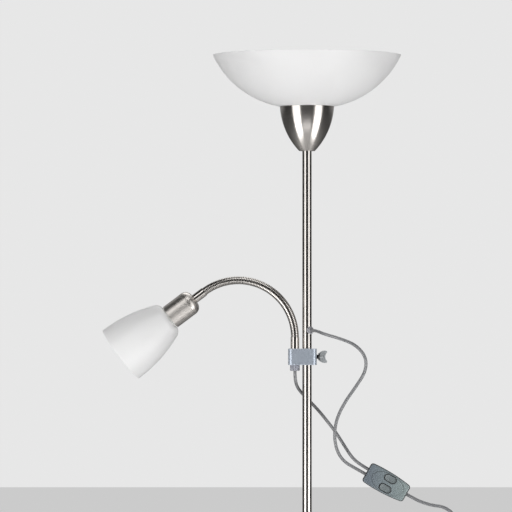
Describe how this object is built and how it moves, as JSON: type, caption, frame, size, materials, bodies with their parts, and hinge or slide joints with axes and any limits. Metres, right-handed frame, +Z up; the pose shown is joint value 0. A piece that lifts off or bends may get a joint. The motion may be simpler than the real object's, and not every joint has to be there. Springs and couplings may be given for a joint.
{
  "type": "floor lamp",
  "caption": "Torchiere floor lamp with a glass bowl uplight and a clamped gooseneck reading light, two leads joined in a double in-line switch.",
  "frame": {"origin": "floor under the pole's axis, at the middle of the base's felt", "axes": "+Z up the pole, X to the right and Y away from a viewer who faces the switch and sees the reading light on the left"},
  "size_m": [0.6119, 0.32, 1.8],
  "materials": {
    "nickel": "brushed nickel",
    "steel": "plain zinc-plated steel",
    "cast_iron": "raw casting",
    "felt": "pressed felt",
    "grey_plastic": "moulded silver-grey",
    "clear_grey": "soft translucent grey",
    "grey_rubber": "soft grey rubber",
    "cord_pvc": "grey flexible sheath",
    "switch_plastic": "grey with a fine texture",
    "holder_plastic": "white heat-resistant plastic",
    "brass": "stamped brass",
    "frosted_glass": "satin opal white",
    "bulb_glass": "frosted",
    "dark_screw": "blackened thread"
  },
  "bodies": {
    "root": {"base_felt": "felt", "base_weight": "cast_iron", "base_cover": "nickel", "base_collar": "nickel", "base_washer": "steel", "base_nut": "steel", "base_stud": "steel", "pole_lower": "nickel", "pole_middle": "nickel", "pole_upper": "nickel", "pole_inserts": "steel", "pole_studs": "steel", "pole_grommet": "grey_rubber", "pole_lead": "cord_pvc", "uplight_cup": "nickel", "uplight_nipple": "steel", "uplight_nuts": "steel", "uplight_holder": "holder_plastic", "uplight_contacts": "brass", "uplight_gallery": "steel", "uplight_ring": "holder_plastic", "bowl_shade": "frosted_glass", "uplight_bulb_cap": "steel", "uplight_bulb_globe": "bulb_glass", "switch_bottom": "switch_plastic", "switch_top": "switch_plastic", "switch_contacts": "brass", "switch_terminals": "brass", "switch_screws": "steel", "switch_cord_clamps": "switch_plastic", "cord_uplight": "cord_pvc", "cord_reading_lower": "cord_pvc", "cord_mains": "cord_pvc", "cord_coil": "cord_pvc", "plug_body": "cord_pvc", "plug_pins": "brass"},
    "clamp_bush": {"clamp_bush": "clear_grey", "cord_reading_upper": "cord_pvc"},
    "clamp": {"clamp_block": "grey_plastic", "cord_gland": "clear_grey", "neck_sleeve_lower": "nickel", "neck_hose_lower": "nickel"},
    "clamp_screw": {"clamp_screw_shank": "dark_screw"},
    "clamp_wing": {"clamp_wing": "grey_plastic"},
    "neck_middle": {"neck_hose_middle": "nickel", "neck_hose_upper": "nickel"},
    "reading_head": {"neck_ferrule_upper": "nickel", "reading_cup": "nickel", "reading_nut": "steel", "reading_holder": "holder_plastic", "reading_contacts": "brass", "reading_ring": "holder_plastic", "reading_shade": "frosted_glass", "reading_bulb_cap": "steel", "reading_bulb_globe": "bulb_glass"},
    "rocker_a": {"switch_rocker_a": "switch_plastic"},
    "rocker_b": {"switch_rocker_b": "switch_plastic"}
  },
  "joints": [
    {"name": "arm_height", "type": "slide", "parent": "root", "child": "clamp_bush", "axis": [0, 0, 1], "range_m": [-0.08, 0.02], "deforming": ["cord_reading_lower"]},
    {"name": "arm_swing", "type": "hinge", "parent": "clamp_bush", "child": "clamp", "pos_m": [0, 0, 1.28705], "axis": [0, 0, 1], "range_deg": [-90, 90], "deforming": ["cord_reading_upper"]},
    {"name": "screw_travel", "type": "slide", "parent": "clamp", "child": "clamp_screw", "axis": [1, 0, 0], "range_m": [0, 0.003]},
    {"name": "screw_turn", "type": "hinge", "parent": "clamp_screw", "child": "clamp_wing", "pos_m": [0.0189, 0, 1.28705], "axis": [1, 0, 0], "range_deg": [0, 1080]},
    {"name": "neck_bend_lower", "type": "hinge", "parent": "clamp", "child": "neck_middle", "pos_m": [-0.0206, 0, 1.35615], "axis": [-0.0872, -0.9962, 0], "range_deg": [-40, 20], "deforming": ["neck_hose_lower"]},
    {"name": "neck_bend_upper", "type": "hinge", "parent": "neck_middle", "child": "reading_head", "pos_m": [-0.14612, 0.01098, 1.41924], "axis": [-0.0872, -0.9962, 0], "range_deg": [-45, 25], "deforming": ["neck_hose_upper"]},
    {"name": "rocker_a_tilt", "type": "hinge", "parent": "root", "child": "rocker_a", "pos_m": [0.13192, -0.0154, 1.06427], "axis": [-0.4955, 0, -0.8686], "range_deg": [0, 12]},
    {"name": "rocker_b_tilt", "type": "hinge", "parent": "root", "child": "rocker_b", "pos_m": [0.14103, -0.0154, 1.08025], "axis": [-0.4955, 0, -0.8686], "range_deg": [0, 12]}
  ],
  "couplings": [
    {"joint": "screw_turn", "follows": "screw_travel", "rad_per_m": 6283.2}
  ]
}
